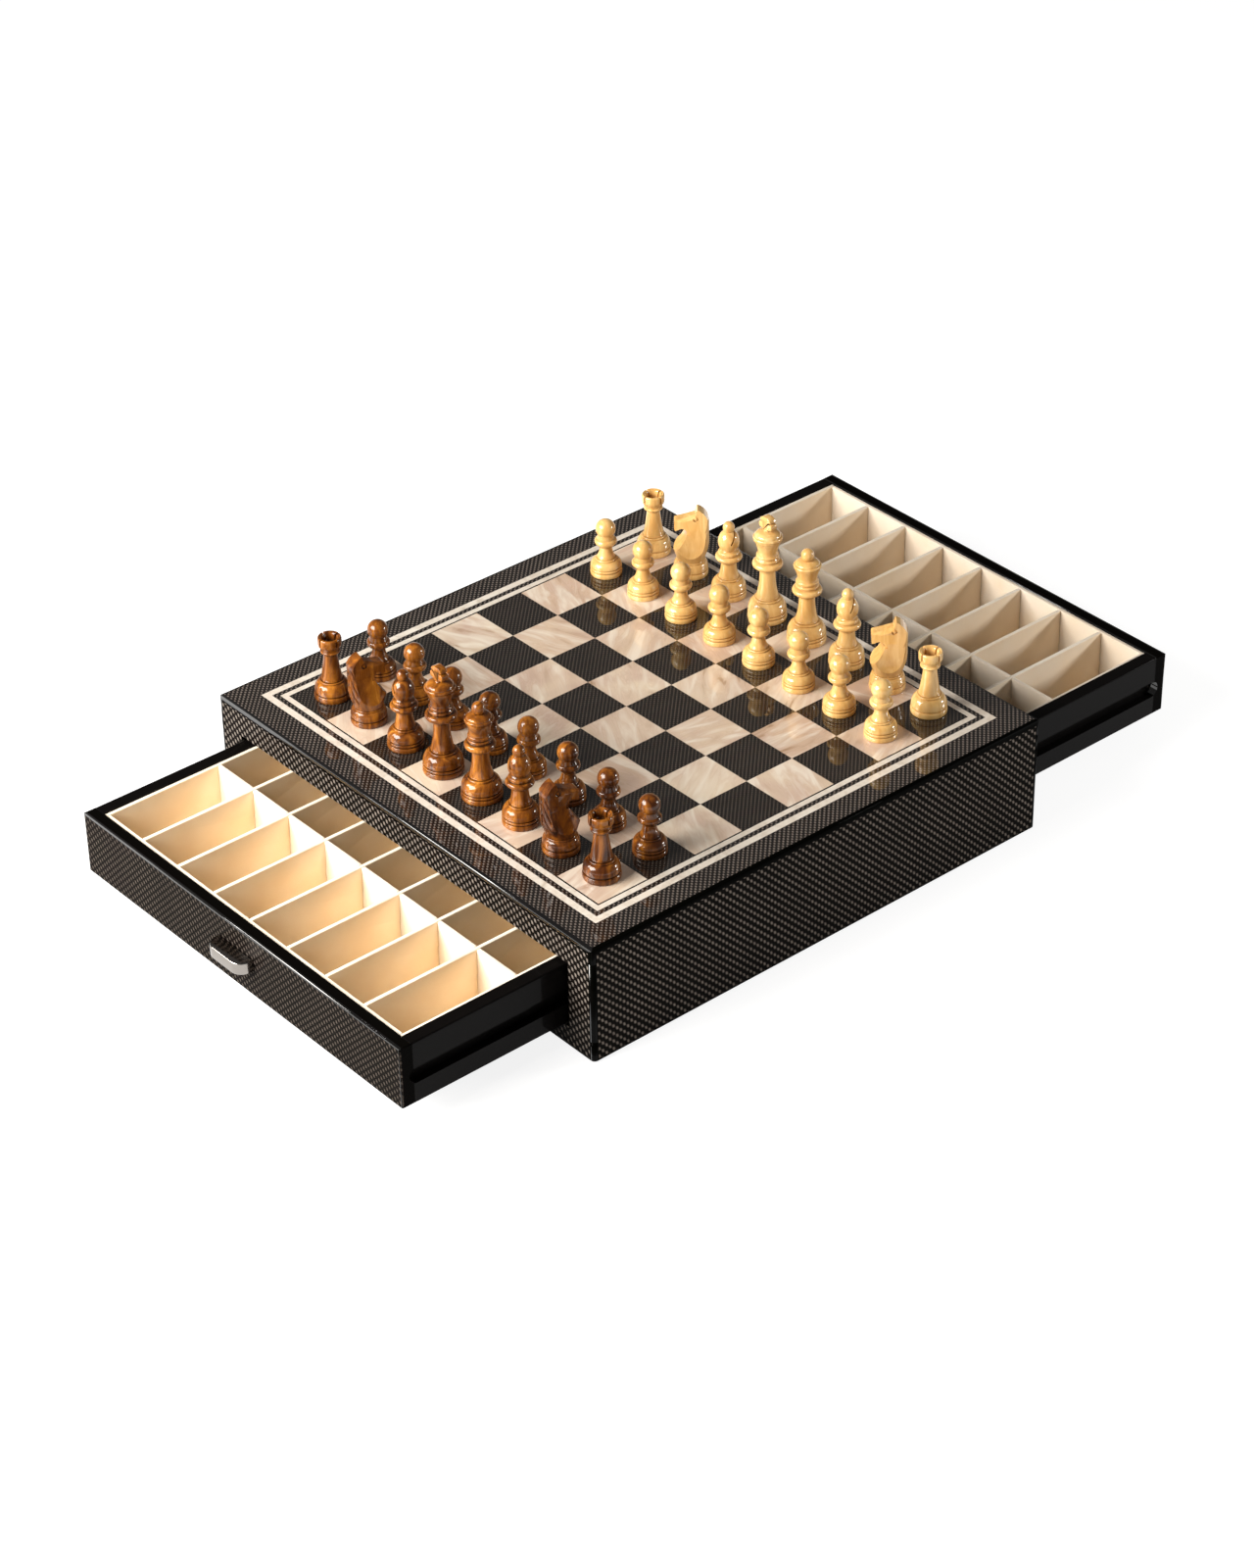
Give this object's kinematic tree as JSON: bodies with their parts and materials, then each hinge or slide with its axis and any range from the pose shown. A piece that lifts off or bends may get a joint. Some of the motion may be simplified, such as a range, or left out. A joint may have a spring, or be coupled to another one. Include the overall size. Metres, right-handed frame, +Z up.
{
  "type": "chess box with drawers",
  "caption": "Square chess board on a low lacquered case, a lined drawer with compartments at each end, and a full set of turned chessmen standing on the board.",
  "frame": {"origin": "middle of the case's underside, on the surface it stands on", "axes": "+Z up; the front drawer slides out along -Y and the back drawer along +Y; the light men stand on the +Y side; +X is to the right seen from the front drawer"},
  "size_m": [0.4, 0.713, 0.172],
  "materials": {
    "black_lacquer": "gloss lacquer on board",
    "carbon_weave": "dark woven-look veneer under gloss lacquer",
    "mother_of_pearl": "polished shell veneer under gloss lacquer",
    "ivory_inlay": "pale inlay line under gloss lacquer",
    "cream_lining": "fine suede-like flock",
    "felt": "felt",
    "chrome": "polished",
    "steel": "plain",
    "beech": "waxed",
    "brown_wood": "gloss varnish",
    "light_wood": "satin varnish"
  },
  "bodies": {
    "case": {"base_felt": "felt", "base_panel": "carbon_weave", "side_wall_left": "carbon_weave", "side_wall_right": "carbon_weave", "top_panel": "carbon_weave", "top_rails": "carbon_weave", "centre_partition": "black_lacquer", "runners": "beech", "carbon_veneer": "carbon_weave", "inlay_lines": "ivory_inlay", "pearl_squares": "mother_of_pearl", "carbon_squares": "carbon_weave"},
    "front_drawer": {"front_drawer_front": "carbon_weave", "front_drawer_sides": "black_lacquer", "front_drawer_back": "black_lacquer", "front_drawer_bottom": "black_lacquer", "front_drawer_lining": "cream_lining", "front_drawer_dividers": "cream_lining", "front_pull": "chrome", "front_pull_screws": "steel"},
    "back_drawer": {"back_drawer_front": "carbon_weave", "back_drawer_sides": "black_lacquer", "back_drawer_back": "black_lacquer", "back_drawer_bottom": "black_lacquer", "back_drawer_lining": "cream_lining", "back_drawer_dividers": "cream_lining", "back_pull": "chrome", "back_pull_screws": "steel"},
    "brown_rook_a_man": {"brown_rook_a": "brown_wood"},
    "brown_knight_b_man": {"brown_knight_b": "brown_wood"},
    "brown_bishop_c_man": {"brown_bishop_c": "brown_wood"},
    "brown_king_man": {"brown_king": "brown_wood"},
    "brown_queen_man": {"brown_queen": "brown_wood"},
    "brown_bishop_f_man": {"brown_bishop_f": "brown_wood"},
    "brown_knight_g_man": {"brown_knight_g": "brown_wood"},
    "brown_rook_h_man": {"brown_rook_h": "brown_wood"},
    "light_rook_a_man": {"light_rook_a": "light_wood"},
    "light_knight_b_man": {"light_knight_b": "light_wood"},
    "light_bishop_c_man": {"light_bishop_c": "light_wood"},
    "light_king_man": {"light_king": "light_wood"},
    "light_queen_man": {"light_queen": "light_wood"},
    "light_bishop_f_man": {"light_bishop_f": "light_wood"},
    "light_knight_g_man": {"light_knight_g": "light_wood"},
    "light_rook_h_man": {"light_rook_h": "light_wood"},
    "brown_pawn_a_man": {"brown_pawn_a": "brown_wood"},
    "brown_pawn_b_man": {"brown_pawn_b": "brown_wood"},
    "brown_pawn_c_man": {"brown_pawn_c": "brown_wood"},
    "brown_pawn_d_man": {"brown_pawn_d": "brown_wood"},
    "brown_pawn_e_man": {"brown_pawn_e": "brown_wood"},
    "brown_pawn_f_man": {"brown_pawn_f": "brown_wood"},
    "brown_pawn_g_man": {"brown_pawn_g": "brown_wood"},
    "brown_pawn_h_man": {"brown_pawn_h": "brown_wood"},
    "light_pawn_a_man": {"light_pawn_a": "light_wood"},
    "light_pawn_b_man": {"light_pawn_b": "light_wood"},
    "light_pawn_c_man": {"light_pawn_c": "light_wood"},
    "light_pawn_d_man": {"light_pawn_d": "light_wood"},
    "light_pawn_e_man": {"light_pawn_e": "light_wood"},
    "light_pawn_f_man": {"light_pawn_f": "light_wood"},
    "light_pawn_g_man": {"light_pawn_g": "light_wood"},
    "light_pawn_h_man": {"light_pawn_h": "light_wood"}
  },
  "joints": [
    {"name": "front_drawer_slide", "type": "slide", "parent": "case", "child": "front_drawer", "axis": [0, -1, 0], "range_m": [-0.133, 0.032]},
    {"name": "back_drawer_slide", "type": "slide", "parent": "case", "child": "back_drawer", "axis": [0, 1, 0], "range_m": [-0.156, 0.009]},
    {"name": "brown_rook_a_lift", "type": "slide", "parent": "case", "child": "brown_rook_a_man", "axis": [0, 0, 1], "range_m": [0, 0.1]},
    {"name": "brown_knight_b_lift", "type": "slide", "parent": "case", "child": "brown_knight_b_man", "axis": [0, 0, 1], "range_m": [0, 0.1]},
    {"name": "brown_bishop_c_lift", "type": "slide", "parent": "case", "child": "brown_bishop_c_man", "axis": [0, 0, 1], "range_m": [0, 0.1]},
    {"name": "brown_king_lift", "type": "slide", "parent": "case", "child": "brown_king_man", "axis": [0, 0, 1], "range_m": [0, 0.1]},
    {"name": "brown_queen_lift", "type": "slide", "parent": "case", "child": "brown_queen_man", "axis": [0, 0, 1], "range_m": [0, 0.1]},
    {"name": "brown_bishop_f_lift", "type": "slide", "parent": "case", "child": "brown_bishop_f_man", "axis": [0, 0, 1], "range_m": [0, 0.1]},
    {"name": "brown_knight_g_lift", "type": "slide", "parent": "case", "child": "brown_knight_g_man", "axis": [0, 0, 1], "range_m": [0, 0.1]},
    {"name": "brown_rook_h_lift", "type": "slide", "parent": "case", "child": "brown_rook_h_man", "axis": [0, 0, 1], "range_m": [0, 0.1]},
    {"name": "light_rook_a_lift", "type": "slide", "parent": "case", "child": "light_rook_a_man", "axis": [0, 0, 1], "range_m": [0, 0.1]},
    {"name": "light_knight_b_lift", "type": "slide", "parent": "case", "child": "light_knight_b_man", "axis": [0, 0, 1], "range_m": [0, 0.1]},
    {"name": "light_bishop_c_lift", "type": "slide", "parent": "case", "child": "light_bishop_c_man", "axis": [0, 0, 1], "range_m": [0, 0.1]},
    {"name": "light_king_lift", "type": "slide", "parent": "case", "child": "light_king_man", "axis": [0, 0, 1], "range_m": [0, 0.1]},
    {"name": "light_queen_lift", "type": "slide", "parent": "case", "child": "light_queen_man", "axis": [0, 0, 1], "range_m": [0, 0.1]},
    {"name": "light_bishop_f_lift", "type": "slide", "parent": "case", "child": "light_bishop_f_man", "axis": [0, 0, 1], "range_m": [0, 0.1]},
    {"name": "light_knight_g_lift", "type": "slide", "parent": "case", "child": "light_knight_g_man", "axis": [0, 0, 1], "range_m": [0, 0.1]},
    {"name": "light_rook_h_lift", "type": "slide", "parent": "case", "child": "light_rook_h_man", "axis": [0, 0, 1], "range_m": [0, 0.1]},
    {"name": "brown_pawn_a_lift", "type": "slide", "parent": "case", "child": "brown_pawn_a_man", "axis": [0, 0, 1], "range_m": [0, 0.1]},
    {"name": "brown_pawn_b_lift", "type": "slide", "parent": "case", "child": "brown_pawn_b_man", "axis": [0, 0, 1], "range_m": [0, 0.1]},
    {"name": "brown_pawn_c_lift", "type": "slide", "parent": "case", "child": "brown_pawn_c_man", "axis": [0, 0, 1], "range_m": [0, 0.1]},
    {"name": "brown_pawn_d_lift", "type": "slide", "parent": "case", "child": "brown_pawn_d_man", "axis": [0, 0, 1], "range_m": [0, 0.1]},
    {"name": "brown_pawn_e_lift", "type": "slide", "parent": "case", "child": "brown_pawn_e_man", "axis": [0, 0, 1], "range_m": [0, 0.1]},
    {"name": "brown_pawn_f_lift", "type": "slide", "parent": "case", "child": "brown_pawn_f_man", "axis": [0, 0, 1], "range_m": [0, 0.1]},
    {"name": "brown_pawn_g_lift", "type": "slide", "parent": "case", "child": "brown_pawn_g_man", "axis": [0, 0, 1], "range_m": [0, 0.1]},
    {"name": "brown_pawn_h_lift", "type": "slide", "parent": "case", "child": "brown_pawn_h_man", "axis": [0, 0, 1], "range_m": [0, 0.1]},
    {"name": "light_pawn_a_lift", "type": "slide", "parent": "case", "child": "light_pawn_a_man", "axis": [0, 0, 1], "range_m": [0, 0.1]},
    {"name": "light_pawn_b_lift", "type": "slide", "parent": "case", "child": "light_pawn_b_man", "axis": [0, 0, 1], "range_m": [0, 0.1]},
    {"name": "light_pawn_c_lift", "type": "slide", "parent": "case", "child": "light_pawn_c_man", "axis": [0, 0, 1], "range_m": [0, 0.1]},
    {"name": "light_pawn_d_lift", "type": "slide", "parent": "case", "child": "light_pawn_d_man", "axis": [0, 0, 1], "range_m": [0, 0.1]},
    {"name": "light_pawn_e_lift", "type": "slide", "parent": "case", "child": "light_pawn_e_man", "axis": [0, 0, 1], "range_m": [0, 0.1]},
    {"name": "light_pawn_f_lift", "type": "slide", "parent": "case", "child": "light_pawn_f_man", "axis": [0, 0, 1], "range_m": [0, 0.1]},
    {"name": "light_pawn_g_lift", "type": "slide", "parent": "case", "child": "light_pawn_g_man", "axis": [0, 0, 1], "range_m": [0, 0.1]},
    {"name": "light_pawn_h_lift", "type": "slide", "parent": "case", "child": "light_pawn_h_man", "axis": [0, 0, 1], "range_m": [0, 0.1]}
  ]
}
